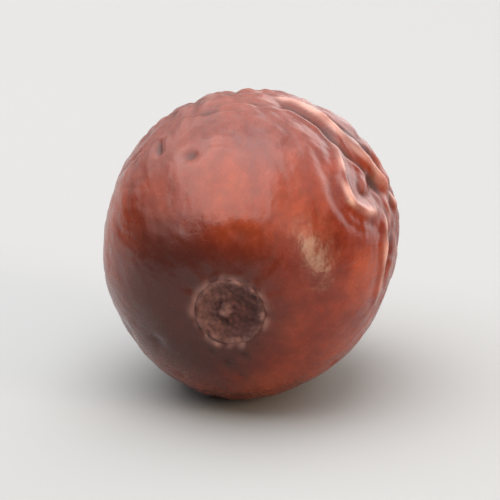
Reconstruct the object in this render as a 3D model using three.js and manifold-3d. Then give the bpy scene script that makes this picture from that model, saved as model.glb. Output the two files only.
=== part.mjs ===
// A dried jujube lying on its side: the plump red fruit with its wrinkled skin, and the woody
// stub in the hollow where its stalk broke off. Lengths are in millimetres and angles in
// degrees. +Z is up, and the origin is on the resting surface, under the middle of the fruit.

import * as THREE from "three";
import { mergeVertices } from "three/addons/utils/BufferGeometryUtils.js";
import Module from "manifold-3d";

// The fruit's body in its own frame, where +Z points to the stem and +Y to the side that lies
// on top. Places on it are [around, from the stem]: 0 around is +X and 90 is the top.
const LENGTH = 29;
const WIDTH = 25.2;
const BOXINESS = 2.25; // 2 is an ellipsoid, and more is fuller at the shoulders
const TAPER = 0.045; // how much the stem end is slimmer and the tip fuller
const TWO_SIDED = 0.007; // how far the cross-section is from round, as shares of its radius
const THREE_SIDED = 0.014;
const THREE_SIDED_AT = 12;

// How it lies: its stem end droops, and its weight has pressed a small flat spot
const DROOP = 6;
const PRESSED = 0.35;

// The wrinkles are many short trains of waves that add up, each with its own place, heading,
// wavelength and phase. Those that turn by 0 make ridges from stem to tip. Round one place on
// the shoulder the skin has twisted, so the trains near it turn further.
const LONG_WRINKLES = { count: 620, wavelength: 2.8, spread: 26, turn: 0, reach: 2.1, seed: 7 };
const CROSS_WRINKLES = { count: 620, wavelength: 3.6, spread: 34, turn: 90, reach: 2, seed: 8 };
const BROAD_HOLLOWS = { count: 60, wavelength: 16, spread: 180, turn: 0, reach: 5.5, seed: 12 };
const WAVELENGTH_VARIETY = 0.8;
const SWIRL = { at: [38, 101], reach: 7.5, turn: 80 };
const LONG_DEPTH = 0.62;
const CROSS_DEPTH = 0.3;
const HOLLOW_DEPTH = 0.3;
const CREASE_SOFTNESS = 0.015;
const RIDGE_MEAN = 0.66; // a ridge's mean height, as a share of its full height
const CALM_HEIGHT = 0.6; // the height where the trains cancel each other out
const CALM_BELOW = 0.35; // and how weak their sum is there

// The wrinkles start this far from the stem, and nearer on the three flanks that dried most. Up
// to there the skin has faint ones only, and none round the stem.
const WRINKLES_FROM = 124;
const WRINKLES_OVER = 26;
const FLANKS = [
  { at: 16, nearer: 50, narrow: 2.4 },
  { at: 118, nearer: 22, narrow: 2 },
  { at: 222, nearer: 54, narrow: 1.5 },
];
const FAINT = 0.16;
const FAINT_BETWEEN = [25, 70];
const CALM_TIP = { between: [150, 172], loss: 0.45 };
const PRESSED_OUT = [0.9, 0.98]; // how squarely the skin faces down, where its wrinkles go
const PATCHES = { mean: 0.75, swing: 0.45 };

// Single folds along smooth curves through places on the skin. A depth below 0 makes a welt.
// The narrowest ones are made as wide as the skin's triangles can follow.
const FINEST_FOLD = 0.8;
const FOLDS = [
  { through: [[78, 104], [68, 99], [60, 96], [52, 90], [44, 89], [35, 91]], width: 0.45, depth: 0.6 },
  {
    through: [[88, 110], [72, 106], [58, 101], [48, 98], [36, 98], [24, 98], [8, 103]],
    width: 0.6,
    depth: -0.55,
  },
  { through: [[74, 120], [56, 112], [38, 111], [22, 108], [4, 116]], width: 0.7, depth: 0.45 },
  { through: [[54, 89], [48, 78], [43, 69], [36, 65], [28, 69], [22, 80]], width: 0.55, depth: -0.42 },
  { through: [[41, 85], [37, 77], [33, 75], [29, 83]], width: 0.5, depth: 0.3 },
  { through: [[62, 76], [52, 66], [42, 58], [30, 57], [20, 64]], width: 0.6, depth: 0.14 },
  { through: [[31, 88], [20, 80], [12, 71], [2, 66], [-12, 61]], width: 0.5, depth: -0.36 },
  { through: [[14, 91], [8, 80], [2, 74], [-8, 69]], width: 0.45, depth: 0.28 },
  { through: [[-6, 84], [-14, 74], [-20, 66]], width: 0.5, depth: 0.2 },
  { through: [[118, 96], [104, 93], [90, 94]], width: 0.35, depth: 0.14 },
  { through: [[100, 103], [86, 99], [72, 101]], width: 0.4, depth: 0.18 },
  { through: [[150, 92], [138, 86], [124, 88]], width: 0.35, depth: 0.12 },
  { through: [[126, 84], [126, 77], [125, 70]], width: 0.4, depth: 0.42 },
  { through: [[106, 67], [97, 67], [88, 63]], width: 0.4, depth: 0.08 },
];
const FOLD_LIP = { height: 0.2, at: 2, width: 0.9 }; // in shares of the fold's depth and width
const FOLD_SHARPNESS = 1.5;
const FOLD_ENDS = 0.6; // the smaller, the more of its length a fold keeps its full depth
const CURVE_STEPS = 6;

// Single round dents
const DENTS = [
  { at: [30, 90], radius: 0.8, depth: 0.5 },
  { at: [111, 63], radius: 0.5, depth: 0.32 },
  { at: [32, 101], radius: 3.2, depth: 0.3 },
  { at: [-14, 84], radius: 4, depth: 0.35 },
];

// Both ends sink in: a shallow basin round the stem, and a small navel at the tip
const BASIN = { radius: 4.6, depth: 0.7 };
const SMOOTH_TO = [2.6, 5.5]; // from the stem's axis: no wrinkles, and all of them
const NAVEL = { radius: 1.5, depth: 0.9 };

// The woody stub sits in a hollow that is wider than it by the gap, on all sides
const STUB_RADIUS = 3;
const STUB_DEPTH = 1.5;
const STUB_AT = 13.75; // from the fruit's middle to the edge of the stub
const GAP = 0.3;
const ABOVE_THE_SKIN = 2; // how far the hollow's cut goes on, past the skin

// The stub's dish from its edge to its middle, as radius and height: the worn rim, the sunken
// ring, and the broken end of the stalk
const DISH = [
  [2.88, 0.05], [2.72, 0.12], [2.56, 0.06], [2.3, -0.16], [1.7, -0.32],
  [1, -0.34], [0.72, -0.16], [0.48, 0.02], [0.22, 0.1], [0, 0.08],
];

// The skin's triangles are finer towards the wrinkled tip, by this share
const TOWARDS_TIP = 0.2;
const SPHERE_DETAIL = 22;
const STUB_SIDES = 36;
const BOWL_STEPS = 6;
const GOLDEN_ANGLE = Math.PI * (3 - Math.sqrt(5));
const { degToRad, smoothstep } = THREE.MathUtils;

const wasm = await Module();
wasm.setup();

// The same row of random numbers from 0 to 1 each time, for one seed
function randomFrom(seed) {
  let state = seed;
  return () => {
    state = (state + 0x6d2b79f5) | 0;
    let t = Math.imul(state ^ (state >>> 15), state | 1);
    t ^= t + Math.imul(t ^ (t >>> 7), t | 61);
    return ((t ^ (t >>> 14)) >>> 0) / 2 ** 32;
  };
}

// The smooth fruit's surface, in one direction from its middle
function plump(direction) {
  const side = Math.hypot(direction.x, direction.y);
  const lengthwise = Math.abs(direction.z) / (LENGTH / 2);
  const sideways = side / (WIDTH / 2);
  const radius = (lengthwise ** BOXINESS + sideways ** BOXINESS) ** (-1 / BOXINESS);
  const around = Math.atan2(direction.y, direction.x);
  const two = TWO_SIDED * Math.cos(2 * around);
  const three = THREE_SIDED * Math.cos(3 * (around - degToRad(THREE_SIDED_AT)));
  const across = radius * (1 + side ** 2 * (two + three)) * (1 - TAPER * direction.z);
  return new THREE.Vector3(direction.x * across, direction.y * across, direction.z * radius);
}

// The smooth fruit's surface, at a place given as its two angles
function plumpAt([around, fromStem]) {
  const a = degToRad(around);
  const b = degToRad(fromStem);
  const ring = Math.sin(b);
  return plump(new THREE.Vector3(ring * Math.cos(a), ring * Math.sin(a), Math.cos(b)));
}

// The way out of the skin at a point, taken from an ellipsoid as long and as wide as the fruit
function outward(point) {
  const wide = (WIDTH / 2) ** 2;
  const long = (LENGTH / 2) ** 2;
  return new THREE.Vector3(point.x / wide, point.y / wide, point.z / long).normalize();
}

// 1 at the middle, and falling off with the distance in shares of the bell's reach
function bellCurve(distance) {
  return Math.exp(-(distance ** 2) / 2);
}

// Trains of waves, spread evenly over the fruit on a golden spiral
function waveTrains({ count, wavelength, spread, turn, seed }) {
  const random = randomFrom(seed);
  const stem = new THREE.Vector3(0, 0, 1);
  return Array.from({ length: count }, (_, k) => {
    const z = 1 - (2 * k + 1) / count;
    const ring = Math.sqrt(1 - z * z);
    const angle = GOLDEN_ANGLE * k;
    const centre = plump(new THREE.Vector3(ring * Math.cos(angle), ring * Math.sin(angle), z));
    const around = stem.clone().cross(outward(centre)).normalize();
    const along = outward(centre).cross(around);
    const bell = random() + random() + random() - 1.5;
    const swirl = SWIRL.turn * bellCurve(centre.distanceTo(plumpAt(SWIRL.at)) / SWIRL.reach);
    const heading = degToRad(turn + spread * bell + swirl);
    const length = wavelength * (1 + WAVELENGTH_VARIETY * (random() - 0.5));
    const wave = around.multiplyScalar(Math.cos(heading)).addScaledVector(along, Math.sin(heading));
    wave.multiplyScalar((2 * Math.PI) / length);
    return { centre, wave, phase: 2 * Math.PI * random() };
  });
}

// The mean of all the wave trains at a point, as its cosine part and its sine part
function sumOfWaves(point, trains, reach) {
  let cosines = 0;
  let sines = 0;
  let weights = 0;
  const offset = new THREE.Vector3();
  for (const { centre, wave, phase } of trains) {
    offset.subVectors(point, centre);
    if (offset.lengthSq() > (3 * reach) ** 2) continue;
    const weight = bellCurve(offset.length() / reach);
    const angle = offset.dot(wave) + phase;
    cosines += weight * Math.cos(angle);
    sines += weight * Math.sin(angle);
    weights += weight;
  }
  return { cosine: cosines / weights, sine: sines / weights };
}

// Puffy ridges between narrow creases: 0 down in a crease and 1 up on a ridge
function ridgeHeight(point, trains, reach) {
  const { cosine, sine } = sumOfWaves(point, trains, reach);
  const halfAngle = Math.atan2(sine, cosine) / 2;
  const ridge = Math.sqrt(Math.cos(halfAngle) ** 2 + CREASE_SOFTNESS);
  const clear = smoothstep(Math.hypot(cosine, sine), 0, CALM_BELOW);
  return clear * ridge + (1 - clear) * CALM_HEIGHT;
}

// A crease with a slight lip on either side, along a curve, that fades out at both ends
function foldHeight(point, { curve, width, depth }) {
  const stretch = new THREE.Line3();
  const onCurve = new THREE.Vector3();
  let nearest = Infinity;
  let share = 0;
  for (let step = 0; step < curve.length - 1; step += 1) {
    stretch.set(curve[step], curve[step + 1]);
    const along = stretch.closestPointToPointParameter(point, true);
    const distance = stretch.at(along, onCurve).distanceTo(point);
    if (distance < nearest) {
      nearest = distance;
      share = (step + along) / (curve.length - 1);
    }
  }
  const u = nearest / width;
  const lip = FOLD_LIP.height * Math.exp(-(((u - FOLD_LIP.at) / FOLD_LIP.width) ** 2));
  const across = Math.exp(-(u ** FOLD_SHARPNESS)) - lip;
  return -depth * Math.sin(Math.PI * share) ** FOLD_ENDS * across;
}

// A round dent
function dentHeight(point, { at, radius, depth }) {
  return -depth * bellCurve(point.distanceTo(plumpAt(at)) / radius);
}

// How strongly the skin is wrinkled at a point, from 0 to about 1
function wrinkling(point, hollow) {
  const around = Math.atan2(point.y, point.x);
  const fromStem = THREE.MathUtils.radToDeg(Math.acos(point.z / point.length()));
  const start = FLANKS.reduce(
    (sum, { at, nearer, narrow }) =>
      sum - nearer * Math.exp(2 * narrow * (Math.cos(around - degToRad(at)) - 1)),
    WRINKLES_FROM,
  );
  const faint = FAINT * smoothstep(fromStem, ...FAINT_BETWEEN);
  const full = smoothstep(fromStem, start - WRINKLES_OVER, start + WRINKLES_OVER);
  const patches = PATCHES.mean + PATCHES.swing * hollow;
  const tip = 1 - CALM_TIP.loss * smoothstep(fromStem, ...CALM_TIP.between);
  const underside = 1 - smoothstep(-outward(point).dot(up), ...PRESSED_OUT);
  return (faint + (1 - faint) * full) * patches * tip * underside;
}

const longTrains = waveTrains(LONG_WRINKLES);
const crossTrains = waveTrains(CROSS_WRINKLES);
const hollowTrains = waveTrains(BROAD_HOLLOWS);
const folds = FOLDS.map(({ through, width, depth }) => {
  const curve = new THREE.CatmullRomCurve3(through.map(plumpAt), false, "catmullrom", 0.5);
  const points = curve.getPoints(CURVE_STEPS * (through.length - 1));
  return { curve: points, width: Math.max(width, FINEST_FOLD), depth };
});

// The way up, seen from the fruit's own frame
const up = new THREE.Vector3(0, Math.cos(degToRad(DROOP)), -Math.sin(degToRad(DROOP)));

// How far the wrinkled skin stands out from the smooth fruit at a point
function relief(point) {
  const hollow = sumOfWaves(point, hollowTrains, BROAD_HOLLOWS.reach).cosine;
  const long = ridgeHeight(point, longTrains, LONG_WRINKLES.reach) - RIDGE_MEAN;
  const cross = ridgeHeight(point, crossTrains, CROSS_WRINKLES.reach) - RIDGE_MEAN;
  let height = HOLLOW_DEPTH * hollow;
  height += wrinkling(point, hollow) * (LONG_DEPTH * long + CROSS_DEPTH * cross);
  for (const fold of folds) height += foldHeight(point, fold);
  for (const dent of DENTS) height += dentHeight(point, dent);
  const fromAxis = Math.hypot(point.x, point.y);
  if (point.z < 0) return height - NAVEL.depth * Math.exp(-((fromAxis / NAVEL.radius) ** 2));
  const basin = BASIN.depth * Math.exp(-((fromAxis / BASIN.radius) ** 2));
  return height * smoothstep(fromAxis, ...SMOOTH_TO) - basin;
}

// A closed geometry with only its places left, each held once
function welded(geometry) {
  geometry.deleteAttribute("normal");
  geometry.deleteAttribute("uv");
  return mergeVertices(geometry);
}

function solidFrom(geometry) {
  const closed = welded(geometry);
  return new wasm.Manifold(
    new wasm.Mesh({
      numProp: 3,
      vertProperties: closed.attributes.position.array,
      triVerts: new Uint32Array(closed.index.array),
    }),
  );
}

function geometryFrom(solid) {
  const mesh = solid.getMesh();
  const geometry = new THREE.BufferGeometry();
  geometry.setAttribute("position", new THREE.BufferAttribute(mesh.vertProperties, 3));
  geometry.setIndex(new THREE.BufferAttribute(mesh.triVerts, 1));
  geometry.computeVertexNormals();
  return geometry;
}

// The underside of the stub as a quarter of an ellipse, from its foot on the axis to its rim
function bowl(grown) {
  return Array.from({ length: BOWL_STEPS + 1 }, (_, step) => {
    const angle = ((Math.PI / 2) * step) / BOWL_STEPS;
    const radius = (STUB_RADIUS + grown) * Math.sin(angle);
    return new THREE.Vector2(radius, -(STUB_DEPTH + grown) * Math.cos(angle));
  });
}

// A turned shape about the stem axis: its profile's heights are measured from the stub's rim
function turned(profile) {
  const geometry = new THREE.LatheGeometry(profile, STUB_SIDES);
  return geometry.rotateX(Math.PI / 2).translate(0, 0, STUB_AT);
}

// The fruit: a wrinkled sphere, pressed flat below and hollowed for the stub
function fruitGeometry() {
  const skin = welded(new THREE.IcosahedronGeometry(1, SPHERE_DETAIL));
  const places = skin.attributes.position;
  const points = Array.from({ length: places.count }, (_, i) => {
    const way = new THREE.Vector3().fromBufferAttribute(places, i);
    way.z -= TOWARDS_TIP;
    const smooth = plump(way.normalize());
    return smooth.clone().addScaledVector(outward(smooth), relief(smooth));
  });
  const floor = Math.min(...points.map((point) => point.dot(up))) + PRESSED;
  points.forEach((point, i) => {
    point.addScaledVector(up, Math.max(0, floor - point.dot(up)));
    places.setXYZ(i, ...point);
  });
  const mouth = [
    new THREE.Vector2(STUB_RADIUS + GAP, ABOVE_THE_SKIN),
    new THREE.Vector2(0, ABOVE_THE_SKIN),
  ];
  const hollow = turned([...bowl(GAP), ...mouth]);
  return geometryFrom(solidFrom(skin).subtract(solidFrom(hollow)));
}

// The stub: a shallow woody dish with an uneven rim, and the stalk's broken end in its middle
function stubGeometry() {
  const dish = DISH.map(([radius, height]) => new THREE.Vector2(radius, height));
  return welded(turned([...bowl(0), ...dish]));
}

const fruit = new THREE.Mesh(
  fruitGeometry(),
  new THREE.MeshStandardMaterial({ color: 0x7e3223, roughness: 0.4, metalness: 0 }),
);
fruit.name = "fruit";

const stub = new THREE.Mesh(
  stubGeometry(),
  new THREE.MeshStandardMaterial({ color: 0x69483c, roughness: 0.85, metalness: 0 }),
);
stub.name = "stem_stub";

// Laid down, with the stem end towards -Y, and moved so that its middle is over the origin
const lying = new THREE.Group();
lying.rotation.x = degToRad(90 + DROOP);
lying.add(fruit, stub);
const jujube = new THREE.Group();
jujube.name = "jujube";
jujube.add(lying);
const box = new THREE.Box3().setFromObject(jujube, true);
const middle = box.getCenter(new THREE.Vector3());
lying.position.set(-middle.x, -middle.y, -box.min.z);

export default jujube;
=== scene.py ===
# %% [markdown]
# # A dried jujube
#
# This lesson builds one dried jujube, the sweet wrinkled fruit that is also called a red date,
# lying on its side on a pale surface. Two pieces make it up: the fruit, which is skin and flesh
# grown as one, and the woody stub in the hollow where its stalk broke off.
#
# The part's own solids come first, as a fixed frame. Each visible piece then takes the place of
# one of them, and keeps its form at a finer grain.

# %% Load the frame
import math

import bpy
import numpy as np
from mathutils import Matrix, Vector


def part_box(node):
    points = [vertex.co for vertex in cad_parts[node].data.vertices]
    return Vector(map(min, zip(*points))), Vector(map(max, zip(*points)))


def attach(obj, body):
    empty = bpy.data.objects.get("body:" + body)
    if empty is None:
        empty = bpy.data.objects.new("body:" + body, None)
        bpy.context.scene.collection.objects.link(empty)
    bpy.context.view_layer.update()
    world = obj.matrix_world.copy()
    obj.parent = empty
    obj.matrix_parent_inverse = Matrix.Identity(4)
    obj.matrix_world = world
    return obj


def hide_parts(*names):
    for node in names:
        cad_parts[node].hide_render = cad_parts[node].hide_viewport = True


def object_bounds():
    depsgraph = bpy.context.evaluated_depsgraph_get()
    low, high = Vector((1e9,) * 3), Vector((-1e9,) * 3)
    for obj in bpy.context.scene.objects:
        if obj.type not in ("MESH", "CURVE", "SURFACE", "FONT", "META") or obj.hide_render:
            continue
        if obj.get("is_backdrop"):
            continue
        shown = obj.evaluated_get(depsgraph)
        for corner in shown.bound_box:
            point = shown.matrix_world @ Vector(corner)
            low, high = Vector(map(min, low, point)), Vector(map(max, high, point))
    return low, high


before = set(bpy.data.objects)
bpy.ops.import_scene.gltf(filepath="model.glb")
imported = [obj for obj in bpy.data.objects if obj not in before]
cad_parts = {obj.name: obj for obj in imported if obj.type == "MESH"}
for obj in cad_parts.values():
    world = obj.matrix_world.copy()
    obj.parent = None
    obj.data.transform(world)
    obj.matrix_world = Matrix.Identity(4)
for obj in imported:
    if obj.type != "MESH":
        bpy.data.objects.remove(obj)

MM = 0.001
cad_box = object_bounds()
print("solids:", sorted(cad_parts))
print("their box in mm:", [round(side / MM, 2) for side in cad_box[1] - cad_box[0]])

# %% [markdown]
# ## The smooth fruit
#
# Before it dried, the fruit was a smooth oblong, a little fuller at the tip than at the stem.
# It could be a scaled sphere, but a real one has fuller shoulders and isn't quite round when
# it is seen from its end. So its surface is a formula of the direction from its middle, in
# millimetres, in a frame of its own where +Z points to the stem and +Y to the side on top.

# %% The smooth fruit
LENGTH = 29
WIDTH = 25.2
# A power of 2 would make an ellipse, and a higher one has fuller shoulders
BOXINESS = 2.25
# Shares of the radius: how much narrower it is at the stem, and the waves round its section
TAPER = 0.045
TWO_SIDED = 0.007
THREE_SIDED = 0.014
THREE_SIDED_AT = math.radians(12)


def directions(around, from_stem):
    """Unit vectors for angles in radians: around the stem's axis, and down from the stem."""
    ring = np.sin(from_stem)
    return np.stack([ring * np.cos(around), ring * np.sin(around), np.cos(from_stem)], axis=-1)


def plump(direction):
    """The smooth skin in each direction. The radius is that of a superellipse of the fruit's
    length and width. Its cross-section narrows towards the stem, and gains a faint two-sided
    and three-sided wave."""
    side = np.hypot(direction[..., 0], direction[..., 1])
    lengthwise = np.abs(direction[..., 2]) / (LENGTH / 2)
    sideways = side / (WIDTH / 2)
    radius = (lengthwise**BOXINESS + sideways**BOXINESS) ** (-1 / BOXINESS)
    around = np.arctan2(direction[..., 1], direction[..., 0])
    lobes = TWO_SIDED * np.cos(2 * around) + THREE_SIDED * np.cos(3 * (around - THREE_SIDED_AT))
    across = radius * (1 + side**2 * lobes) * (1 - TAPER * direction[..., 2])
    return direction * np.stack([across, across, radius], axis=-1)


def plump_at(place):
    """The smooth skin at one place, given in degrees as (around, from the stem)."""
    return plump(directions(*np.radians(place)))


def unit(vectors):
    """The same vectors with length 1: each is divided by its length."""
    return vectors / np.linalg.norm(vectors, axis=-1, keepdims=True)


def outward(points):
    """The way out of the skin, as on an ellipsoid: each coordinate over its half axis squared."""
    return unit(points / np.array([WIDTH / 2, WIDTH / 2, LENGTH / 2]) ** 2)


print("width at the middle:", round(float(2 * plump_at((0, 90))[0]), 2), "mm")

# %% [markdown]
# ## Wrinkles
#
# As the flesh shrinks, the skin is left too large for it and buckles into puffy ridges with
# narrow creases between them. They run mostly from stem to tip, and they wander, fork and die
# out. Noise alone gives lumps, and a plain wave gives a pumpkin. So hundreds of short trains of
# waves are laid over the fruit, each with its own place, heading and wavelength, and added as
# arrows: where neighbours agree there is a clear ridge, and where they don't it forks.

# %% Wave trains
GOLDEN_ANGLE = math.pi * (3 - math.sqrt(5))
# By what share of their mean the longest and the shortest wavelength of a kind differ
WAVELENGTH_VARIETY = 0.8
# The waves swirl round one place: by how many degrees at most, and over how many millimetres
SWIRL_AT = (38, 101)
SWIRL_TURN = 80
SWIRL_REACH = 7.5
# A train of waves counts up to this many times its reach
TRAIN_END = 3


def random_from(seed):
    """An endless row of random numbers from 0 to 1, the same each time for one seed. The steps
    are those of the generator called mulberry32: the state grows by a fixed number, and is
    then mixed by shifts and products of 32 bits."""
    mask = 0xFFFFFFFF
    state = seed
    while True:
        state = (state + 0x6D2B79F5) & mask
        mixed = ((state ^ (state >> 15)) * (state | 1)) & mask
        mixed ^= (mixed + (((mixed ^ (mixed >> 7)) * (mixed | 61)) & mask)) & mask
        yield (mixed ^ (mixed >> 14)) / 2**32


def wave_trains(count, wavelength, spread, turn, reach, seed):
    """Centres on a golden spiral over the fruit, with a wave vector and a phase for each. A turn
    of 0 sends the waves around the fruit, which makes ridges from stem to tip. The heading
    varies by the spread times a bell-shaped random number, the sum of three draws less 1.5."""
    random = random_from(seed)
    draws = np.array([[next(random) for _ in range(5)] for _ in range(count)])
    step = np.arange(count)
    centres = plump(directions(GOLDEN_ANGLE * step, np.arccos(1 - (2 * step + 1) / count)))
    out = outward(centres)
    around = unit(np.cross([0, 0, 1], out))
    along = np.cross(out, around)
    bell_shaped = draws[:, :3].sum(axis=1) - 1.5
    from_swirl = ((centres - plump_at(SWIRL_AT)) ** 2).sum(axis=1)
    swirl = SWIRL_TURN * np.exp(-from_swirl / (2 * SWIRL_REACH**2))
    heading = np.radians(turn + spread * bell_shaped + swirl)[:, None]
    length = wavelength * (1 + WAVELENGTH_VARIETY * (draws[:, 3:4] - 0.5))
    waves = (np.cos(heading) * around + np.sin(heading) * along) * 2 * math.pi / length
    return {"centres": centres, "waves": waves, "phases": 2 * math.pi * draws[:, 4], "reach": reach}


def sum_of_waves(points, trains):
    """The mean of all the trains at each point, as one complex number. Each train counts by a
    bell curve of its distance, and turns by its wave vector along the way."""
    reach = trains["reach"]
    total = np.zeros(len(points), complex)
    weights = np.zeros(len(points))
    for centre, wave, phase in zip(trains["centres"], trains["waves"], trains["phases"]):
        near = np.flatnonzero(np.abs(points[:, 2] - centre[2]) < TRAIN_END * reach)
        offset = points[near] - centre
        squared = (offset**2).sum(axis=1)
        inside = squared <= (TRAIN_END * reach) ** 2
        near, offset, squared = near[inside], offset[inside], squared[inside]
        weight = np.exp(-squared / (2 * reach**2))
        total[near] += weight * np.exp(1j * (offset @ wave + phase))
        weights[near] += weight
    return total / weights


LONG_WRINKLES = wave_trains(count=620, wavelength=2.8, spread=26, turn=0, reach=2.1, seed=7)
CROSS_WRINKLES = wave_trains(count=620, wavelength=3.6, spread=34, turn=90, reach=2, seed=8)
FINE_WRINKLES = wave_trains(count=2600, wavelength=1.15, spread=50, turn=0, reach=0.85, seed=9)
BROAD_HOLLOWS = wave_trains(count=60, wavelength=16, spread=180, turn=0, reach=5.5, seed=12)
all_trains = [LONG_WRINKLES, CROSS_WRINKLES, FINE_WRINKLES, BROAD_HOLLOWS]
print("trains of waves:", sum(len(trains["centres"]) for trains in all_trains))

# %% [markdown]
# ## From waves to ridges
#
# The angle of the summed arrow says where on a wave a point is. The cosine of half that angle
# is a row of round humps with sharp valleys, which is what puffy skin looks like. Where the
# trains cancel each other out the angle means nothing, so the height goes to a calm middle.

# %% Ridges
# The mean height of the ridges, the height where the trains cancel each other out, and how short
# the summed arrow is where they begin to
RIDGE_MEAN = 0.66
CALM_HEIGHT = 0.6
CALM_BELOW = 0.35
# Numbers under the root that round the bottom of the creases
ROUNDING = 0.015
FINE_ROUNDING = 0.08


def ease(values, low, high):
    """A smooth step from 0 at low to 1 at high: three squares of the share of the way, less two
    of its cubes."""
    share = np.clip((values - low) / (high - low), 0, 1)
    return share * share * (3 - 2 * share)


def ridge_height(points, trains, rounding=ROUNDING):
    """Near 0 in a crease and 1 on a ridge: the root of the squared cosine of half the angle
    plus the rounding."""
    wave = sum_of_waves(points, trains)
    ridge = np.sqrt(np.cos(np.angle(wave) / 2) ** 2 + rounding)
    clear = ease(np.abs(wave), 0, CALM_BELOW)
    return clear * ridge + (1 - clear) * CALM_HEIGHT


print("lowest height in a crease:", round(math.sqrt(ROUNDING), 2))

# %% [markdown]
# ## Single creases, welts and dents
#
# Some folds are so plain to see that they are placed one by one: those over the right shoulder,
# and a few dents. Each fold follows a smooth curve on the skin and fades out at both ends. A
# crease has a sharp bottom and a slight lip on either side, and a welt is a crease turned
# outwards. They could be sculpted by hand, but a fold that is made of a few numbers can be moved
# or deepened at any time. Small pits are strewn over the rest by chance.

# %% Places of the folds and dents
# Each fold has the places that it passes through, its width, and its depth, which is negative
# for a welt. A place is in degrees, as (around, from the stem), and a length in millimetres.
FOLDS = [
    ([(78, 104), (68, 99), (60, 96), (52, 90), (44, 89), (35, 91)], 0.45, 0.6),
    ([(88, 110), (72, 106), (58, 101), (48, 98), (36, 98), (24, 98), (8, 103)], 0.6, -0.55),
    ([(74, 120), (56, 112), (38, 111), (22, 108), (4, 116)], 0.7, 0.45),
    ([(54, 89), (48, 78), (43, 69), (36, 65), (28, 69), (22, 80)], 0.55, -0.42),
    ([(41, 85), (37, 77), (33, 75), (29, 83)], 0.5, 0.3),
    ([(62, 76), (52, 66), (42, 58), (30, 57), (20, 64)], 0.6, 0.14),
    ([(31, 88), (20, 80), (12, 71), (2, 66), (-12, 61)], 0.5, -0.36),
    ([(14, 91), (8, 80), (2, 74), (-8, 69)], 0.45, 0.28),
    ([(-6, 84), (-14, 74), (-20, 66)], 0.5, 0.2),
    ([(118, 96), (104, 93), (90, 94)], 0.35, 0.14),
    ([(100, 103), (86, 99), (72, 101)], 0.4, 0.18),
    ([(150, 92), (138, 86), (124, 88)], 0.35, 0.12),
    ([(126, 84), (126, 77), (125, 70)], 0.4, 0.42),
    ([(106, 67), (97, 67), (88, 63)], 0.4, 0.08),
]
# Each dent has its place, its radius and its depth
DENTS = [
    ((30, 90), 0.8, 0.5),
    ((111, 63), 0.5, 0.32),
    ((285, 18), 0.35, 0.34),
    ((266, 22), 0.4, 0.3),
    ((247, 18), 0.3, 0.3),
    ((276, 28), 0.35, 0.2),
]
# Broad dents bend the skin without creasing it, so they aren't darkened as the others are
BROAD_DENTS = [
    ((32, 101), 3.2, 0.3),
    ((-14, 84), 4, 0.35),
]
print(len(FOLDS), "folds and", len(DENTS) + len(BROAD_DENTS), "dents")

# %% A groove along a curve
CURVE_STEPS = 6
# The skin within this many millimetres of every fourth point of a curve is shaped by its fold
FOLD_REACH = 5
FOLD_SAMPLE = 4
# The power of the groove's bell curve, where 2 has a round bottom and 1 a sharp one
GROOVE_POWER = 1.5
# The lip beside a groove: its share of the depth, its place and its width in fold widths
SIDE_LIP = 0.2
SIDE_LIP_AT = 2
SIDE_LIP_WIDTH = 0.9
# The power of the half sine that fades a fold's ends, where less keeps it deep for longer
FADE_POWER = 0.6


def curve_through(corners):
    """A smooth curve through points. Between two of them it is the cubic that leaves each in
    the direction from the point before to the point after. Each end counts on in a straight
    line."""
    before, after = 2 * corners[0] - corners[1], 2 * corners[-1] - corners[-2]
    corners = np.array([before, *corners, after])
    t = np.linspace(0, 1, CURVE_STEPS, endpoint=False)[:, None]
    stretches = [
        0.5 * (
            2 * b + (c - a) * t
            + (2 * a - 5 * b + 4 * c - d) * t**2
            + (3 * b - a - 3 * c + d) * t**3
        )
        for a, b, c, d in zip(corners, corners[1:], corners[2:], corners[3:])
    ]
    return np.concatenate([*stretches, corners[-2:-1]])


def bell(offset, width):
    """1 where the offset is 0, and less on both sides: e to the minus square of the offset over
    the width."""
    return np.exp(-((offset / width) ** 2))


def fold_height(points, through, width, depth):
    """A groove along a curve: the distance from the curve gives a sharp bell downwards, and a
    faint lip upwards beside it. The half sine along the curve fades both its ends."""
    curve = curve_through([plump_at(place) for place in through])
    from_samples = ((points[:, None] - curve[::FOLD_SAMPLE]) ** 2).sum(axis=2)
    near = np.flatnonzero(from_samples.min(axis=1) < FOLD_REACH**2)
    nearest = np.full(len(near), np.inf)
    share = np.zeros(len(near))
    for step, (start, end) in enumerate(zip(curve, curve[1:])):
        stretch = end - start
        along = np.clip((points[near] - start) @ stretch / (stretch @ stretch), 0, 1)
        distance = np.linalg.norm(points[near] - start - along[:, None] * stretch, axis=1)
        closer = distance < nearest
        nearest[closer] = distance[closer]
        share[closer] = (step + along[closer]) / (len(curve) - 1)
    widths_away = nearest / width
    side_lip = SIDE_LIP * bell(widths_away - SIDE_LIP_AT, SIDE_LIP_WIDTH)
    groove = np.exp(-(widths_away**GROOVE_POWER)) - side_lip
    height = np.zeros(len(points))
    height[near] = -depth * np.sin(math.pi * share) ** FADE_POWER * groove
    return height


longest_fold = max(len(through) for through, width, depth in FOLDS)
print("the longest fold passes through", longest_fold, "places")

# %% Dents and pits
PITS = 34
# The cosine of the angle from the stem where the pits start, and the radius and the depth of
# the smallest pit, each with how much more the largest has
HIGHEST_PIT = 0.9
PIT_RADIUS, PIT_RADIUS_MORE = 0.3, 0.5
PIT_DEPTH, PIT_DEPTH_MORE = 0.05, 0.17


def dent_height(points, place, radius, depth):
    """A bell curve of the distance, downwards: e to the minus squared distance over twice the
    squared radius."""
    squared = ((points - plump_at(place)) ** 2).sum(axis=1)
    return -depth * np.exp(-squared / (2 * radius**2))


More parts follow.
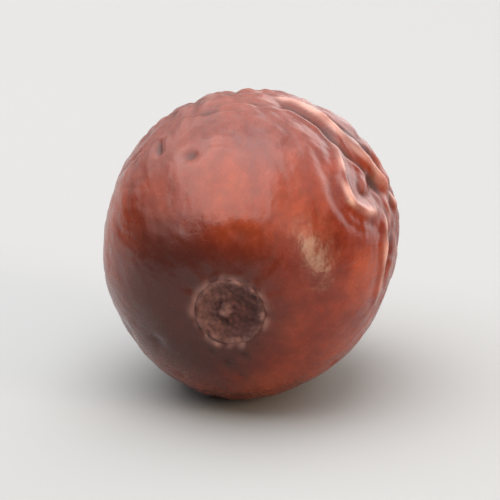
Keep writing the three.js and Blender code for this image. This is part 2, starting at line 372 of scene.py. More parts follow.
def scattered_pits(count, seed):
    """Small dents anywhere but round the stem: even draws give the angle around, the cosine of
    the angle from the stem and the radius, and a squared draw makes most of them shallow."""
    random = random_from(seed)
    pits = []
    for _ in range(count):
        around = 360 * next(random)
        cosine = HIGHEST_PIT - (1 + HIGHEST_PIT) * next(random)
        radius = PIT_RADIUS + PIT_RADIUS_MORE * next(random)
        depth = PIT_DEPTH + PIT_DEPTH_MORE * next(random) ** 2
        pits.append(((around, math.degrees(math.acos(cosine))), radius, depth))
    return pits


SMALL_PITS = scattered_pits(PITS, seed=43)
print("deepest small pit:", round(max(depth for place, radius, depth in SMALL_PITS), 2), "mm")

# %% [markdown]
# ## Unevenness
#
# Nothing on a dried fruit is quite regular. An edge that runs round the stem wanders, and the
# taut skin isn't quite smooth. Both are sums of a few waves with random phases, one over an
# angle and one over the place in space, so they give the same result each time.

# %% Unevenness round an axis and in space
LUMPY_WAVES = 36


def uneven(around, orders, seed):
    """A wavy number, mostly between -1 and 1, for each angle: a few cosines, each with a random
    phase of its own, added and divided by the root of their count."""
    random = random_from(seed)
    waves = [np.cos(order * around + 2 * math.pi * next(random)) for order in orders]
    return sum(waves) / len(orders) ** 0.5


def lumpy(points, wavelength, seed):
    """A gentle unevenness, mostly between -1 and 1: plane waves of one wavelength that run in
    random directions with random phases, added and divided by the root of half their number."""
    random = random_from(seed)
    total = np.zeros(len(points))
    for _ in range(LUMPY_WAVES):
        way = directions(2 * math.pi * next(random), math.acos(1 - 2 * next(random)))
        total += np.cos(points @ way * (2 * math.pi / wavelength) + 2 * math.pi * next(random))
    return total / (LUMPY_WAVES / 2) ** 0.5


sample = uneven(np.linspace(0, 2 * math.pi, 360), (1, 2, 3, 5), seed=31)
print("an uneven edge runs from", round(float(sample.min()), 2), "to", round(float(sample.max()), 2))

# %% [markdown]
# ## Lying down
#
# The fruit lies on its side with the stem end drooping a little. Its own frame is turned about
# the X axis. The same turn tells which way is up for the fruit, which the wrinkles need too:
# they are pressed out where the skin meets the surface.

# %% The way it lies
DROOP = math.radians(6)
LAID_DOWN = np.array(Matrix.Rotation(math.pi / 2 + DROOP, 3, "X"))
UP = LAID_DOWN.T @ [0, 0, 1]
print("up, in the fruit's own frame:", np.round(UP, 3))

# %% [markdown]
# ## The whole relief
#
# The stem half of this fruit stayed smooth, and the tip half and three flanks shrank most. So
# the wrinkles have a strength that grows from the stem to the tip, sooner on those flanks, and
# that varies in patches. Shallow hollows, the folds, the dents and the sunken ends are added.
# The depth in a crease and the height on a crest are kept too, for the skin's colours, which
# include painted shade in the creases and painted sheen on the crests.

# %% Where it is wrinkled
# In degrees from the stem: where the wrinkles are half grown, and over how much to either side
HALF_WRINKLED = 124
WRINKLES_GROW_OVER = 26
# The place around of each wrinkled flank, how much nearer the stem its wrinkles start, and how
# narrow it is
FLANKS = [(16, 50, 4.8), (118, 22, 4), (222, 54, 3)]
# The smooth half has faint wrinkles too, which start between these angles
FAINT = 0.16
FAINT_FROM = (25, 70)
# Patches: the mean strength, and how much it grows with the broad hollows' height
PATCH_MEAN = 0.75
PATCH_VARIETY = 0.45
# The share that the tip's wrinkles lose, and the angles between which they do
TIP_LOSS = 0.45
TIP_FROM = (150, 172)
# The share of the way out that points down, between free skin and skin pressed flat
PRESSED_FROM = (0.9, 0.98)


def facing(around, at, narrow):
    """1 on the side that lies at an angle in degrees, and less away from it: e to the product
    of narrow and the cosine of the angle between them less 1."""
    return np.exp(narrow * (np.cos(around - math.radians(at)) - 1))


def wrinkling(points, hollow):
    """How strong the wrinkles are at each point, from 0 to about 1: the share that they have
    grown, times the shares that the patches, the tip and the floor leave of them."""
    around = np.arctan2(points[:, 1], points[:, 0])
    from_stem = np.degrees(np.arccos(points[:, 2] / np.linalg.norm(points, axis=1)))
    nearer = sum(degrees * facing(around, at, narrow) for at, degrees, narrow in FLANKS)
    middle = HALF_WRINKLED - nearer
    patches = PATCH_MEAN + PATCH_VARIETY * hollow
    calm_tip = 1 - TIP_LOSS * ease(from_stem, *TIP_FROM)
    off_the_floor = 1 - ease(-outward(points) @ UP, *PRESSED_FROM)
    faint = FAINT * ease(from_stem, *FAINT_FROM)
    full = ease(from_stem, middle - WRINKLES_GROW_OVER, middle + WRINKLES_GROW_OVER)
    return (faint + (1 - faint) * full) * patches * calm_tip * off_the_floor


print("wrinkled flanks:", len(FLANKS))

# %% Dark creases and pale crests
# The creases are drawn darker, partly as the skin's own browner tone and partly as painted shade where
# shade falls in them. The crests are drawn paler, partly as stretched, papery skin and partly as
# painted sheen.
# The ridge height from which long and cross creases darken, over how much, and the cross
# creases' share
LONG_CREASE_FROM = 0.72
CROSS_CREASE_FROM = 0.7
CREASE_OVER = 0.6
CROSS_CREASE_SHARE = 0.4
# Single folds: how dark a crease gets and between which depths, between which heights a welt
# pales and how pale it gets, and how much that varies in patches of a few millimetres. A welt's
# paleness is partly papery skin and partly painted sheen.
FOLD_DARKNESS = 0.85
FOLD_DARKENS = (0.05, 0.4)
WELT_PALES = (0.05, 0.35)
WELT_PALENESS = 0.9
WELT_PATCH_MEAN = 0.75
WELT_PATCH_VARIETY = 0.3
WELT_PATCH_SIZE = 2.4
# Long ridges pale a little too between two heights, partly as stretched skin and partly as
# painted sheen, and nothing gets paler than the limit
RIDGE_PALENESS = 0.25
RIDGE_PALES = (0.8, 1)
PALEST = 0.85


def creases_and_crests(points, strength, long, cross, single):
    """How deep in a crease and how high on a crest each point is, from 0 to 1, from the heights
    of the long, the cross and the single folds. The first darkens the skin, partly as painted
    shade, and the second pales it, partly as painted sheen."""
    from_long = ease(LONG_CREASE_FROM - long, 0, CREASE_OVER)
    from_cross = CROSS_CREASE_SHARE * ease(CROSS_CREASE_FROM - cross, 0, CREASE_OVER)
    crease = strength * (from_long + from_cross)
    crease = np.clip(crease + FOLD_DARKNESS * ease(-single, *FOLD_DARKENS), 0, 1)
    patchiness = WELT_PATCH_MEAN + WELT_PATCH_VARIETY * lumpy(points, WELT_PATCH_SIZE, seed=53)
    welts = WELT_PALENESS * patchiness * ease(single, *WELT_PALES)
    crest = np.clip(RIDGE_PALENESS * strength * ease(long, *RIDGE_PALES) + welts, 0, PALEST)
    return crease, crest


print("a crease in a single fold is", FOLD_DARKNESS, "dark, and a welt up to", PALEST, "pale")

# %% Scurf round the stub
# Scurf is a broken ring of pale, flaking skin: how pale it is at most, its radius and width, and
# the mean and the unevenness of its cover
SCURF_PALENESS = 0.48
SCURF_AT = 3
SCURF_WIDTH = 0.5
SCURF_COVER = 0.25
SCURF_UNEVEN = 0.3
SCURF_LUMPY = 0.2


def scurf(points):
    """How pale the ring of scurf is at each point: its uneven cover times a bell curve of the
    distance from its radius."""
    around = np.arctan2(points[:, 1], points[:, 0])
    from_axis = np.hypot(points[:, 0], points[:, 1])
    cover = SCURF_COVER + SCURF_UNEVEN * uneven(around, (1, 3, 4, 7), seed=34)
    cover = np.clip(cover + SCURF_LUMPY * lumpy(points, 1, seed=54), 0, 1)
    return cover * (SCURF_PALENESS * (points[:, 2] > 0) * bell(from_axis - SCURF_AT, SCURF_WIDTH))


print("the scurf is", SCURF_PALENESS, "pale at most")

# %% Sunken ends
# Round the stub all relief fades out between these distances from the axis
CALM_ROUND_STUB = (2.6, 5.5)
PUCKER_HEIGHT = 0.05
PUCKERS_AT = 4.1
PUCKERS_WIDTH = 1.1
BASIN_DEPTH = 0.7
BASIN_RADIUS = 4.6
NAVEL_DEPTH = 0.9
NAVEL_RADIUS = 1.5


def sink_ends(points, height):
    """The height with its two ends. At the stem the relief fades out under the stub, a ring of
    small puckers is added, and a bell-shaped basin is taken off. At the tip a navel is taken off
    in the same way."""
    around = np.arctan2(points[:, 1], points[:, 0])
    from_axis = np.hypot(points[:, 0], points[:, 1])
    puckers = uneven(around, (7, 9, 12, 16), seed=33) * bell(from_axis - PUCKERS_AT, PUCKERS_WIDTH)
    stem_half = height * ease(from_axis, *CALM_ROUND_STUB) + PUCKER_HEIGHT * puckers
    stem_half = stem_half - BASIN_DEPTH * bell(from_axis, BASIN_RADIUS)
    tip_half = height - NAVEL_DEPTH * bell(from_axis, NAVEL_RADIUS)
    return np.where(points[:, 2] > 0, stem_half, tip_half)


print("basin", BASIN_DEPTH, "mm deep, navel", NAVEL_DEPTH, "mm deep")

# %% Relief
# Heights in millimetres. Fine wrinkles are low on smooth skin, and higher by a second number
# where it is fully wrinkled.
LONG_DEPTH = 0.62
CROSS_DEPTH = 0.3
HOLLOW_DEPTH = 0.3
FINE_DEPTH = 0.02
FINE_DEPTH_MORE = 0.09
# The unevenness of taut skin, as (height, wavelength), and the share that a place's lengthwise
# number shrinks to before it is looked up, which draws the unevenness out from stem to tip
COARSE_LUMPS = (0.02, 3.2)
FINE_LUMPS = (0.006, 1.3)
DRAWN_OUT = 0.4


def relief(points):
    """How far the skin stands out from the smooth fruit in millimetres, how deep in a crease
    each point is, and how high on a crest, both from 0 to 1."""
    hollow = sum_of_waves(points, BROAD_HOLLOWS).real
    strength = wrinkling(points, hollow)
    long = ridge_height(points, LONG_WRINKLES)
    cross = ridge_height(points, CROSS_WRINKLES)
    fine = ridge_height(points, FINE_WRINKLES, rounding=FINE_ROUNDING)
    height = HOLLOW_DEPTH * hollow
    height += strength * (LONG_DEPTH * (long - RIDGE_MEAN) + CROSS_DEPTH * (cross - RIDGE_MEAN))
    height += (FINE_DEPTH + FINE_DEPTH_MORE * strength) * (fine - CALM_HEIGHT)
    drawn_out = points * [1, 1, DRAWN_OUT]
    coarse_lumps = COARSE_LUMPS[0] * lumpy(drawn_out, COARSE_LUMPS[1], seed=51)
    height += coarse_lumps + FINE_LUMPS[0] * lumpy(drawn_out, FINE_LUMPS[1], seed=52)
    single = sum(fold_height(points, *fold) for fold in FOLDS)
    single += sum(dent_height(points, *dent) for dent in [*DENTS, *SMALL_PITS])
    height += single + sum(dent_height(points, *dent) for dent in BROAD_DENTS)
    crease, crest = creases_and_crests(points, strength, long, cross, single)
    return sink_ends(points, height), crease, np.maximum(crest, scurf(points))


print("the long ridges are up to", LONG_DEPTH, "mm high")

# %% [markdown]
# ## The stub
#
# Where the stalk broke off, the fruit keeps a small corky dish with a pale, uneven rim and the
# stalk's stump in its middle. It is a profile turned about the stem's axis, as on a lathe. The
# Spin tool could turn it, but a grid of points that is worked out here can also change as it
# goes round: the rim and the stump are made uneven by waves that depend on the angle around.

# %% A surface from a grid
def grid_faces(rows, columns):
    """Quads between neighbouring rows, closed around. Rows run from the stem outwards."""
    row = np.arange(rows - 1)[:, None] * columns
    column = np.arange(columns)[None, :]
    after = (column + 1) % columns
    corners = [row + column, row + columns + column, row + columns + after, row + after]
    spread = [np.broadcast_to(corner, (rows - 1, columns)) for corner in corners]
    return np.stack(spread, axis=-1).reshape(-1, 4)


def closed_mesh(name, grid, first_pole, last_pole):
    """A mesh of one closed surface: a grid of points, (rows, columns, 3) in metres, whose first
    and last rows are closed with a fan of triangles to a pole."""
    rows, columns, _ = grid.shape
    points = np.concatenate([grid.reshape(-1, 3), [first_pole, last_pole]])
    around = np.arange(columns)
    after = (around + 1) % columns
    last_row = (rows - 1) * columns
    first_index, last_index = rows * columns, rows * columns + 1
    first_fan = np.stack([np.full(columns, first_index), around, after], axis=-1)
    last_fan = np.stack([np.full(columns, last_index), last_row + after, last_row + around], axis=-1)
    faces = grid_faces(rows, columns).tolist() + first_fan.tolist() + last_fan.tolist()
    mesh = bpy.data.meshes.new(name)
    mesh.from_pydata(points.tolist(), [], faces)
    mesh.polygons.foreach_set("use_smooth", [True] * len(mesh.polygons))
    mesh.update()
    piece = bpy.data.objects.new(name, mesh)
    bpy.context.scene.collection.objects.link(piece)
    print(name, "has", len(points), "points and", len(faces), "faces")
    return piece


def store(piece, name, kind, values):
    """Keeps one value or vector for each point on the mesh, where a material can read it."""
    layer = piece.data.attributes.new(name, kind, "POINT")
    key = "vector" if kind == "FLOAT_VECTOR" else "value"
    layer.data.foreach_set(key, np.ascontiguousarray(values, dtype=np.float32).ravel())


# %% Profile of the stub
STUB_RADIUS = 3
STUB_DEPTH = 1.5
# The height of the stub's edge over the middle of the fruit
STUB_AT = 13.75
# The top of the dish from the rim to the middle, as (radius, height over the edge)
DISH = [
    (2.88, 0.05), (2.72, 0.12), (2.56, 0.06), (2.3, -0.16), (1.7, -0.32),
    (1, -0.34), (0.72, -0.16), (0.48, 0.02), (0.22, 0.1), (0, 0.08),
]
BOWL_STEPS = 12


def smooth_profile(corners, steps, passes):
    """A dense profile through corner points: even steps along the straight lines between them,
    which are then averaged with their neighbours several times to round the corners."""
    corners = np.array(corners, float)
    length = np.concatenate([[0], np.cumsum(np.linalg.norm(np.diff(corners, axis=0), axis=1))])
    along = np.linspace(0, length[-1], steps)
    profile = np.stack([np.interp(along, length, corners[:, i]) for i in range(2)], axis=-1)
    for _ in range(passes):
        profile[1:-1] = (profile[:-2] + 2 * profile[1:-1] + profile[2:]) / 4
    return profile


bowl_angle = np.linspace(math.pi / 2, 0, BOWL_STEPS)[1:]
bowl = np.stack([STUB_RADIUS * np.sin(bowl_angle), -STUB_DEPTH * np.cos(bowl_angle)], axis=-1)
profile = smooth_profile([*DISH[::-1], (STUB_RADIUS, 0), *bowl], steps=120, passes=3)
print("the stub's profile has", len(profile), "points")

# %% Stub
STUB_COLUMNS = 180
# The top of the dish lies above this height, and the bowl under it
TOP_ABOVE = -0.6
# The raised rim's radius and width, and the stump's radius and how wide its edge is
RIM_AT, RIM_WIDTH = 2.7, 0.28
STUMP_RADIUS, STUMP_EDGE = 1, 0.4
# The middle of the stump's top, off the stem's axis
STUMP_MIDDLE = (-0.3, 0.15)
# How uneven the rim's and the stump's radius are, as shares, and the rim's height
RIM_WANDER = 0.02
STUMP_WANDER = 0.16
RIM_RAGGED = 0.07
# Crumbs on the top, as (height, wavelength), the radius that they stay within, and over how much
# they fade out before it
COARSE_CRUMBS = (0.05, 1.1)
FINE_CRUMBS = (0.025, 0.45)
CRUMBS_WITHIN, CRUMBS_FADE = 2.95, 0.3

around = np.linspace(0, 2 * math.pi, STUB_COLUMNS, endpoint=False)
radius, height = [values[1:-1, None] for values in profile.T]
on_top = height > TOP_ABOVE
on_rim = bell(radius - RIM_AT, RIM_WIDTH) * on_top
on_stump = ease(STUMP_RADIUS - radius, 0, STUMP_EDGE) * on_top
wavy_radius = radius * (1 + RIM_WANDER * uneven(around, (3, 5, 8), seed=21) * on_rim)
wavy_radius *= 1 + STUMP_WANDER * uneven(around, (2, 3, 5), seed=22) * on_stump
wavy_height = height + RIM_RAGGED * uneven(around, (3, 7, 11), seed=23) * on_rim
stub_grid = np.stack(
    [
        wavy_radius * np.cos(around) + STUMP_MIDDLE[0] * on_stump,
        wavy_radius * np.sin(around) + STUMP_MIDDLE[1] * on_stump,
        STUB_AT + wavy_height,
    ],
    axis=-1,
)
flat_grid = stub_grid.reshape(-1, 3)
crumbs = COARSE_CRUMBS[0] * lumpy(flat_grid, COARSE_CRUMBS[1], seed=25)
crumbs = crumbs + FINE_CRUMBS[0] * lumpy(flat_grid, FINE_CRUMBS[1], seed=26)
crumbs = crumbs.reshape(wavy_radius.shape)
stub_grid[..., 2] += crumbs * ease(CRUMBS_WITHIN - radius, 0, CRUMBS_FADE) * on_top
stub_poles = np.array([[*STUMP_MIDDLE, STUB_AT + profile[0, 1]], [0, 0, STUB_AT + profile[-1, 1]]])
stub_points = np.concatenate([stub_grid.reshape(-1, 3), stub_poles])
print("stub:", stub_grid.shape[0], "rings of", stub_grid.shape[1], "points")

# %% [markdown]
# ## Where it lies
#
# The stub is the same in the solids and here, so it gives the move from the fruit's own frame
# to the part's: turn it, then shift its box onto the solid's box.

# %% From the fruit's frame to the part's
laid_stub = stub_points @ LAID_DOWN.T
solid_low, solid_high = [np.array(corner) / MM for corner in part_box("stem_stub")]
SHIFT = (solid_low + solid_high) / 2 - (laid_stub.min(axis=0) + laid_stub.max(axis=0)) / 2
print("middle of the fruit, in mm:", np.round(SHIFT, 3))


def lay_down(points):
    """Points in the fruit's own frame in millimetres, turned and moved to the part's frame."""
    return (points @ LAID_DOWN.T + SHIFT) * MM


stub = closed_mesh("stem_stub_corky", lay_down(stub_grid), *lay_down(stub_poles))

# %% How pale the stub is
# The pale rim is wider than the raised one: its radius, its width, and how much that varies
PALE_RIM_AT = 2.78
PALE_RIM_WIDTH, PALE_RIM_VARIETY = 0.34, 0.1
# How pale the worn rim is on average, and how much that varies
RIM_WORN_MEAN, RIM_WORN_VARIETY = 0.62, 0.4
# The stump gets this pale, between two heights over the stub's edge
STUMP_PALENESS = 0.8
STUMP_PALE_FROM = (-0.1, 0.08)
# The ring round the foot of the stump stays dark
FOOT_AT, FOOT_WIDTH = 0.95, 0.3
# The dish is painted paler on the side away from this angle and darker towards it: painted
# light and shade across its hollow
DISH_PAINTED_LIGHT = 0.25
DISH_PAINTED_SHADE_SIDE = math.radians(-20)

patchiness = RIM_WORN_MEAN + RIM_WORN_VARIETY * uneven(around, (2, 5, 9, 13), seed=27)
pale_rim = bell(radius - PALE_RIM_AT, PALE_RIM_WIDTH + PALE_RIM_VARIETY * np.cos(around)) * on_top
stump_foot = bell(radius - FOOT_AT, FOOT_WIDTH) * on_top
painted_dish_light = (DISH_PAINTED_LIGHT - DISH_PAINTED_LIGHT * np.cos(around - DISH_PAINTED_SHADE_SIDE)) * on_top
painted_dish_light = painted_dish_light * (1 - pale_rim) * (1 - stump_foot)
pale_stump = STUMP_PALENESS * on_stump * ease(height, *STUMP_PALE_FROM)
# The paleness is the worn rim and the stump's own paler tone, with painted light on one side of the
# dish
paleness = np.clip(pale_rim * patchiness + pale_stump + painted_dish_light, 0, 1).ravel()
store(stub, "paleness", "FLOAT", np.append(paleness, [STUMP_PALENESS, 0]))
store(stub, "fruit_mm", "FLOAT_VECTOR", stub_points)
print("the stub's mean paleness:", round(float(paleness.mean()), 2))

# %% [markdown]
# ## The fruit's skin
#
# The skin is a grid of angles: around the stem's axis, and from the stem to the tip. Blender's
# own sphere has such a grid too, but its rows are evenly spaced. Here they are closer together
# at the edge of the hollow for the stub, which needs a crisp lip. Inside that edge the skin
# follows the stub's round underside. Last, what would reach below the surface is pressed flat
# onto it.

# %% Shade at the stem and the tip
STEM_SHADE = 0.9
# How far the shade reaches from the axis, how much further towards one side, and how much more
# or less it does in two narrower sectors: all in millimetres, at angles in degrees. The reach
# towards that one side is painted shade.
SHADE_REACH = 7.4
SHADE_SIDE, SHADE_SIDE_AT = 3, 190
SHADE_MORE, SHADE_MORE_AT = 1.9, 325
SHADE_LESS, SHADE_LESS_AT = 0.5, 275
SECTOR_NARROW = 6
# It starts to fade this far inside its reach, and is gone this far past it
FADES_INSIDE = 3.5
FADES_PAST = 2
TIP_SHADE = 0.8
TIP_RADIUS = 1.1


def shade_at_ends(points):
    """The purplish tone round the stem, from 0 to 1: a smooth step down across an edge that
    wanders, and reaches further on some sides. The tone is partly the skin's own colour and
    partly painted shade, which makes it reach furthest towards one side. The tip has a small
    brown scar, a bell curve."""
    around = np.arctan2(points[:, 1], points[:, 0])
    from_axis = np.hypot(points[:, 0], points[:, 1])
    edge = SHADE_REACH + uneven(around, (1, 2, 3, 5), seed=31)
    edge += SHADE_SIDE * np.cos(around - math.radians(SHADE_SIDE_AT))
    more = SHADE_MORE * facing(around, SHADE_MORE_AT, SECTOR_NARROW)
    edge += more - SHADE_LESS * facing(around, SHADE_LESS_AT, SECTOR_NARROW)
    round_stem = STEM_SHADE * (1 - ease(from_axis, edge - FADES_INSIDE, edge + FADES_PAST))
    return np.where(points[:, 2] > 0, round_stem, TIP_SHADE * bell(from_axis, TIP_RADIUS))


print("the shade reaches about", SHADE_REACH, "mm from the stem's axis")

# %% Skin
ROWS = 218
COLUMNS = 436
# The shares of the rows that lie within some angles from the stem
ROW_SHARES = [0, 0.05, 0.13, 1]
ROW_DEGREES = [0, 11, 15, 180]
# The seat for the stub: its radius, the gap under the stub, and the lip round it
SEAT_RADIUS = 2.92
SEAT_GAP = 0.04
LIP = 0.06
LIP_AT, LIP_WIDTH = 3.4, 0.3

row_share = np.linspace(0, 1, ROWS + 2)[1:-1]
from_stem = np.radians(np.interp(row_share, ROW_SHARES, ROW_DEGREES))
turn = np.linspace(0, 2 * math.pi, COLUMNS, endpoint=False)
from_stem_grid, turn_grid = np.meshgrid(from_stem, turn, indexing="ij")
way = directions(turn_grid.ravel(), from_stem_grid.ravel())
way = np.concatenate([way, [[0, 0, 1], [0, 0, -1]]])
smooth_skin = plump(way)
out_by, crease, crest = relief(smooth_skin)
skin = smooth_skin + outward(smooth_skin) * out_by[:, None]

from_axis = np.hypot(skin[:, 0], skin[:, 1])
at_stem = skin[:, 2] > 0
skin[:, 2] += np.where(at_stem, LIP * bell(from_axis - LIP_AT, LIP_WIDTH), 0)
seat = STUB_AT - SEAT_GAP - STUB_DEPTH * np.sqrt(np.clip(1 - (from_axis / SEAT_RADIUS) ** 2, 0, 1))
in_seat = at_stem & (from_axis < SEAT_RADIUS)
skin[in_seat, 2] = np.minimum(skin[in_seat, 2], seat[in_seat])

skin_placed = lay_down(skin)
pressed = skin_placed[:, 2] < 0
skin_placed[:, 2] = np.maximum(skin_placed[:, 2], 0)
fruit = closed_mesh("fruit_skin", skin_placed[:-2].reshape(ROWS, COLUMNS, 3), *skin_placed[-2:])
store(fruit, "crease", "FLOAT", crease)
store(fruit, "crest", "FLOAT", crest)
store(fruit, "fruit_mm", "FLOAT_VECTOR", smooth_skin)
store(fruit, "end_shade", "FLOAT", shade_at_ends(smooth_skin))
print("flat spot:", np.round(np.ptp(skin_placed[pressed], axis=0)[:2] / MM, 1), "mm")

# %% [markdown]
# ## Materials
#
# A small helper adds a node with its settings and its links, and another turns the colours
# that a painter would name into the linear values that light is worked out with.

# %% Helpers for materials
def linear(hex_colour):
    """An sRGB hex colour as linear red, green, blue and alpha, by the standard's own curve: a
    straight line near black, and a power of 2.4 above it."""
    shares = [int(hex_colour[i : i + 2], 16) / 255 for i in (1, 3, 5)]
    return (*[s / 12.92 if s <= 0.04045 else ((s + 0.055) / 1.055) ** 2.4 for s in shares], 1)


def add_node(tree, kind, settings=None, values=None, links=None, stops=None):
    """Adds a node to a tree. Settings are its properties, values its input numbers or colours,
    links the outputs that feed its inputs, and stops a colour ramp's (place, hex colour)."""
    node = tree.nodes.new(kind)
    for name, value in (settings or {}).items():
        setattr(node, name, value)
    for socket, value in (values or {}).items():
        node.inputs[socket].default_value = value
    for socket, output in (links or {}).items():
        tree.links.new(output, node.inputs[socket])
    for i, (place, colour) in enumerate(stops or []):
        element = node.color_ramp.elements[i] if i < 2 else node.color_ramp.elements.new(place)
        element.position = place
        element.color = linear(colour)
    return node


# The places of a colour mix's two colours among its inputs, and of its result
MIX_A, MIX_B, MIX_RESULT = 6, 7, 2
print("middle grey is", round(linear("#808080")[0], 2), "in linear light")

# %% [markdown]
# ## Dried jujube skin
#
# The skin is a thin, tough, waxy film over sugary flesh. It gives a broad satin shine, deep red
# where it is taut, darker and browner in the creases, pale and papery on the sharpest crests,
# and purplish round the stem. Part of that is painted light: painted shade in the creases and
# on one side of the stem's purple zone, and painted sheen on the crests. A painted picture would
# fit this one fruit only, so the tones come from noise and from what the relief stored on the
# mesh. The patterns read the place on the fruit in millimetres, so every scale below is a real
# size.

# %% Skin colour
# Sizes in millimetres of the broad tones, the mottle and the grain, and the share to which
# lengthwise places shrink, which draws them all out from stem to tip
BROAD_TONE = 6
MOTTLE = 1
GRAIN = 0.35
LENGTHWISE = 0.45

skin_material = bpy.data.materials.new("dried_jujube_skin")
skin_material.use_nodes = True
tree = skin_material.node_tree
shader = tree.nodes["Principled BSDF"]
place = add_node(tree, "ShaderNodeAttribute", {"attribute_name": "fruit_mm"}).outputs["Vector"]
in_crease, on_crest, end_shade = [
    add_node(tree, "ShaderNodeAttribute", {"attribute_name": name}).outputs["Fac"]
    for name in ["crease", "crest", "end_shade"]
]
drawn_out = add_node(
    tree, "ShaderNodeMapping", values={"Scale": (1, 1, LENGTHWISE)}, links={"Vector": place}
).outputs["Vector"]
broad = add_node(
    tree, "ShaderNodeTexNoise",
    values={"Scale": 1 / BROAD_TONE, "Detail": 3, "Roughness": 0.55}, links={"Vector": drawn_out},
).outputs["Fac"]
mottle = add_node(
    tree, "ShaderNodeTexNoise",
    values={"Scale": 1 / MOTTLE, "Detail": 5, "Roughness": 0.65}, links={"Vector": drawn_out},
).outputs["Fac"]
red = add_node(
    tree, "ShaderNodeValToRGB", links={"Fac": broad},
    stops=[(0.3, "#641f10"), (0.7, "#8f391a"), (0.5, "#782a13")],
).outputs["Color"]
colour = add_node(
    tree, "ShaderNodeMix", {"data_type": "RGBA", "blend_type": "OVERLAY"},
    values={"Factor": 0.5}, links={MIX_A: red, MIX_B: mottle},
).outputs[MIX_RESULT]
# Three tones over it, each as far as the skin has it: the purple tone round the stem, partly
# painted shade; pale crests, partly painted sheen; dark creases, partly painted shade
for tone, share in [("#431e17", end_shade), ("#cc9a8d", on_crest), ("#3e150c", in_crease)]:
    colour = add_node(
        tree, "ShaderNodeMix", {"data_type": "RGBA"},
        values={MIX_B: linear(tone)}, links={"Factor": share, MIX_A: colour},
    ).outputs[MIX_RESULT]
tree.links.new(colour, shader.inputs["Base Color"])
print(skin_material.name, "mixes its colour from", len(tree.nodes), "nodes")

# %% [markdown]
# ## The skin's shine
#
# Wax makes the skin glossy in some spots and satin in others, and dust and sugar make it dull
# in the creases. So the mottle steers the roughness, and the depth in a crease adds to it. A
# grain of a third of a millimetre breaks the edges of the highlights.

# %% Skin shine and fine grain
GLOSSIEST, DULLEST = 0.2, 0.32
DULLER_IN_CREASE = 0.3

polish = add_node(
    tree, "ShaderNodeMapRange",
    values={"From Min": 0.3, "From Max": 0.7, "To Min": GLOSSIEST, "To Max": DULLEST},
    links={"Value": mottle},
).outputs["Result"]
duller = add_node(
    tree, "ShaderNodeMath", {"operation": "MULTIPLY_ADD"},
    values={1: DULLER_IN_CREASE}, links={0: in_crease, 2: polish},
).outputs["Value"]
grain = add_node(
    tree, "ShaderNodeTexNoise",
    values={"Scale": 1 / GRAIN, "Detail": 4, "Roughness": 0.6}, links={"Vector": drawn_out},
).outputs["Fac"]
bump = add_node(
    tree, "ShaderNodeBump",
    values={"Strength": 0.5, "Distance": 0.05 * MM}, links={"Height": grain},
)
tree.links.new(duller, shader.inputs["Roughness"])
tree.links.new(bump.outputs["Normal"], shader.inputs["Normal"])
shader.inputs["IOR"].default_value = 1.45
fruit.data.materials.append(skin_material)
print("the skin's roughness runs from", GLOSSIEST, "to", round(DULLEST + DULLER_IN_CREASE, 2))

# %% [markdown]
# ## Corky stub
#
# The stub is dead, weathered tissue like thin cork: no shine at all, dark brown in the dish,
# and pale on the worn edges of its rim and stump. One side of the dish is painted lighter and
# the other darker, as painted light and shade. Its crumbs are less than half a millimetre, so
# one noise of that size gives both its colours and its bumps, and they match each other.

# %% Stub material
CRUMB = 0.4

stub_material = bpy.data.materials.new("weathered_cork")
stub_material.use_nodes = True
tree = stub_material.node_tree
shader = tree.nodes["Principled BSDF"]
place = add_node(tree, "ShaderNodeAttribute", {"attribute_name": "fruit_mm"}).outputs["Vector"]
pale = add_node(tree, "ShaderNodeAttribute", {"attribute_name": "paleness"}).outputs["Fac"]
crumbly = add_node(
    tree, "ShaderNodeTexNoise",
    values={"Scale": 1 / CRUMB, "Detail": 5, "Roughness": 0.7}, links={"Vector": place},
).outputs["Fac"]
dark_cork, pale_cork = [
    add_node(
        tree, "ShaderNodeValToRGB", links={"Fac": crumbly}, stops=[(0.35, darker), (0.7, lighter)]
    ).outputs["Color"]
    for darker, lighter in [("#331713", "#5c312b"), ("#5f3b35", "#896158")]
]
cork = add_node(
    tree, "ShaderNodeMix", {"data_type": "RGBA"},
    links={"Factor": pale, MIX_A: dark_cork, MIX_B: pale_cork},
).outputs[MIX_RESULT]
bump = add_node(
    tree, "ShaderNodeBump",
    values={"Strength": 0.8, "Distance": 0.08 * MM}, links={"Height": crumbly},
)
tree.links.new(cork, shader.inputs["Base Color"])
tree.links.new(bump.outputs["Normal"], shader.inputs["Normal"])
shader.inputs["Roughness"].default_value = 0.85
stub.data.materials.append(stub_material)
print(stub_material.name, "has", len(tree.nodes), "nodes")

# %% [markdown]
# ## Join the pieces to the frame
#
# Each piece stands for one solid and rides with the part's one body.

# %% Ride and replace
for piece, node, slot in [(fruit, "fruit", "skin"), (stub, "stem_stub", "stub")]:
    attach(piece, "root")
    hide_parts(node)
    print(piece.name, "stands for", node)

# %% [markdown]
# ## Floor, light and camera
#
# A white table, a wide soft light above it and a white room are the studio of a food picture.
# A small warm light on the right makes the glint beside the stub, a weak one fills that side,
# and two large ones behind give the edges their rim of light. The camera looks down a little,
# from a few degrees to the right of the stem end, through a long lens, as in the photograph.

# %% Floor
FLOOR_SIZE = 6
bpy.ops.mesh.primitive_plane_add(size=FLOOR_SIZE)
floor = bpy.context.object
floor.name = "floor"
floor_material = bpy.data.materials.new("white_table")
floor_material.use_nodes = True
floor_shader = floor_material.node_tree.nodes["Principled BSDF"]
floor_shader.inputs["Base Color"].default_value = linear("#a2a2a2")
floor_shader.inputs["Roughness"].default_value = 0.9
floor_shader.inputs["Specular IOR Level"].default_value = 0.1
floor.data.materials.append(floor_material)
floor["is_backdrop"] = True
print("the floor is", FLOOR_SIZE, "m wide")

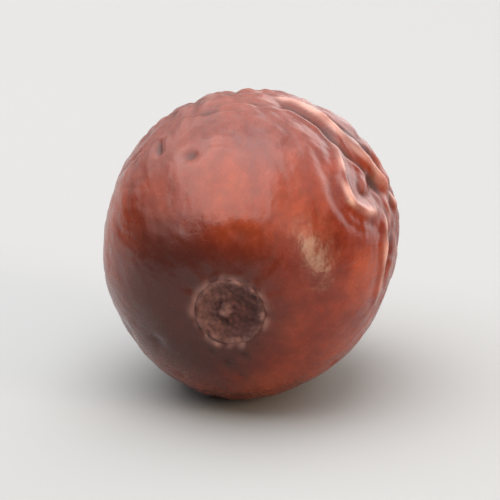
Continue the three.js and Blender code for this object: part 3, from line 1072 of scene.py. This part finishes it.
# %% Light
ROOM_LIGHT = 0.08
world = bpy.data.worlds.new("white_room")
world.use_nodes = True
world.node_tree.nodes["Background"].inputs["Color"].default_value = (1, 1, 1, 1)
world.node_tree.nodes["Background"].inputs["Strength"].default_value = ROOM_LIGHT
bpy.context.scene.world = world
bpy.context.scene.view_settings.view_transform = "Standard"


def soft_light(name, size, place, aim, power, colour="#ffffff"):
    """A rectangular area light of a size in metres, at a place, that faces its aim. Its power is
    in watts."""
    light = bpy.data.lights.new(name, "AREA")
    light.shape = "RECTANGLE"
    light.size, light.size_y = size
    light.energy = power
    light.color = linear(colour)[:3]
    lamp = bpy.data.objects.new(name, light)
    bpy.context.scene.collection.objects.link(lamp)
    lamp.location = place
    lamp.rotation_euler = (Vector(aim) - Vector(place)).to_track_quat("-Z", "Y").to_euler()


def around_object(azimuth, elevation, distance):
    """A place at a distance in metres: the azimuth in degrees counts to the right from the
    front, and the elevation up from level. It is the distance times the sines and cosines."""
    a, e = math.radians(azimuth), math.radians(elevation)
    to_the_right = distance * math.sin(a) * math.cos(e)
    to_the_back = -distance * math.cos(a) * math.cos(e)
    return to_the_right, to_the_back, distance * math.sin(e)


MIDDLE = (0, 0, 0.0125)
WARM = "#ffe0b8"
soft_light("overhead_softbox", (0.69, 0.84), (-0.155, -0.02, 0.5), (-0.155, -0.02, 0), power=4.8)
soft_light("ceiling_panel", (2.2, 1.9), (-0.35, 0.45, 0.55), (-0.35, 0.45, 0), power=14.4)
soft_light("back_softbox", (3, 1.2), (-0.3, 1.4, 0.6), (-0.3, 0, 0.6), power=5.6)
soft_light("right_softbox", (0.18, 0.34), around_object(64, 16, 0.6), MIDDLE, power=2.1, colour=WARM)
soft_light("right_fill", (0.6, 0.6), around_object(45, 25, 0.8), MIDDLE, power=0.8)
soft_light("right_back_softbox", (1, 0.55), around_object(150, 15, 0.9), MIDDLE, power=3.4)
print("lights:", len(bpy.data.lights))

# %% Camera
AZIMUTH = 7
ELEVATION = 18
DISTANCE = 0.4
# The width in metres that the picture covers at the fruit
FRAME_WIDTH = 0.043
AIM = Vector((0, 0, 0.0118))
camera_data = bpy.data.cameras.new("camera")
camera_data.sensor_width = 36
camera_data.lens = camera_data.sensor_width * DISTANCE / FRAME_WIDTH
camera_data.clip_start = 0.01
camera = bpy.data.objects.new("camera", camera_data)
bpy.context.scene.collection.objects.link(camera)
towards_camera = Vector(around_object(AZIMUTH, ELEVATION, distance=1))
camera.location = AIM + DISTANCE * towards_camera
camera.rotation_euler = (-towards_camera).to_track_quat("-Z", "Y").to_euler()
bpy.context.scene.camera = camera
print("focal length:", round(camera_data.lens), "mm")

# %% [markdown]
# ## Measure and finish
#
# The last cell keeps the solids' box and the finished model's box, which have to agree.

# %% Sizes
bpy.context.view_layer.update()
looks_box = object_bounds()
sizes = {"cad": [list(corner) for corner in cad_box], "visual": [list(corner) for corner in looks_box]}
for name, (low, high) in sizes.items():
    print(name, "box in mm:", [round((end - start) / MM, 2) for start, end in zip(low, high)])
